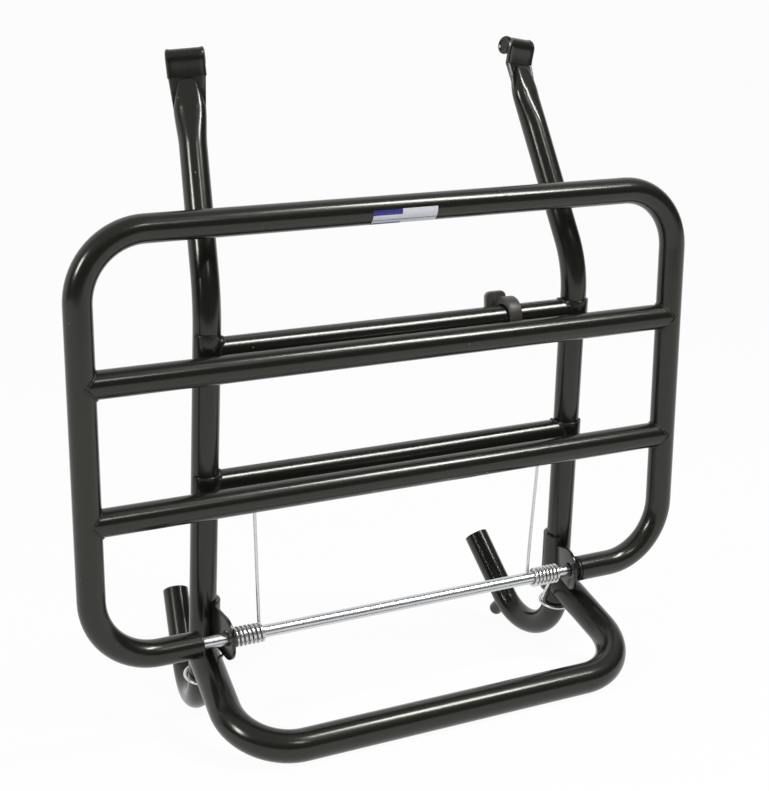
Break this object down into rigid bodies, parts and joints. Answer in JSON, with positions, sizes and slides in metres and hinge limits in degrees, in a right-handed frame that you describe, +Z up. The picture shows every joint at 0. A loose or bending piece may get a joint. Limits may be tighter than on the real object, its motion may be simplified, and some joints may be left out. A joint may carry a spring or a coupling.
{
  "type": "folding luggage rack",
  "caption": "Folding luggage rack of black bent tube: hooked uprights with a foot loop carry a hinged flap that swings down on a plain rod and is pulled shut by torsion springs.",
  "frame": {"origin": "centre of the overall box on the floor the rack stands on", "axes": "+X to the right of a person facing the flap, +Y from the flap towards the hooks, +Z up"},
  "size_m": [0.4492, 0.1981, 0.4469],
  "materials": {
    "black_paint": "satin gloss powder coat",
    "bright_rod": "bright zinc",
    "bright_wire": "bright zinc",
    "rubber": "matt",
    "bush_plastic": "moulded",
    "sticker": "printed foil, plain fields of colour"
  },
  "bodies": {
    "frame": {"left_upright": "black_paint", "right_upright": "black_paint", "upper_frame_bar": "black_paint", "lower_frame_bar": "black_paint", "left_hinge_bracket": "black_paint", "right_hinge_bracket": "black_paint", "foot_loop": "black_paint", "left_peg": "black_paint", "right_peg": "black_paint", "rubber_buffer": "rubber", "left_spring": "bright_wire", "right_spring": "bright_wire"},
    "flap": {"flap_loop": "black_paint", "upper_flap_bar": "black_paint", "lower_flap_bar": "black_paint", "left_end_bush": "bush_plastic", "right_end_bush": "bush_plastic", "hinge_rod": "bright_rod", "label": "sticker"}
  },
  "joints": [
    {"name": "flap_hinge", "type": "hinge", "parent": "frame", "child": "flap", "pos_m": [0, -0.03387, 0.06979], "axis": [1, 0, 0], "range_deg": [0, 121], "stiffness_Nm_per_rad": 0.3, "springref_deg": -126.05, "deforming": ["left_spring", "right_spring"]}
  ]
}
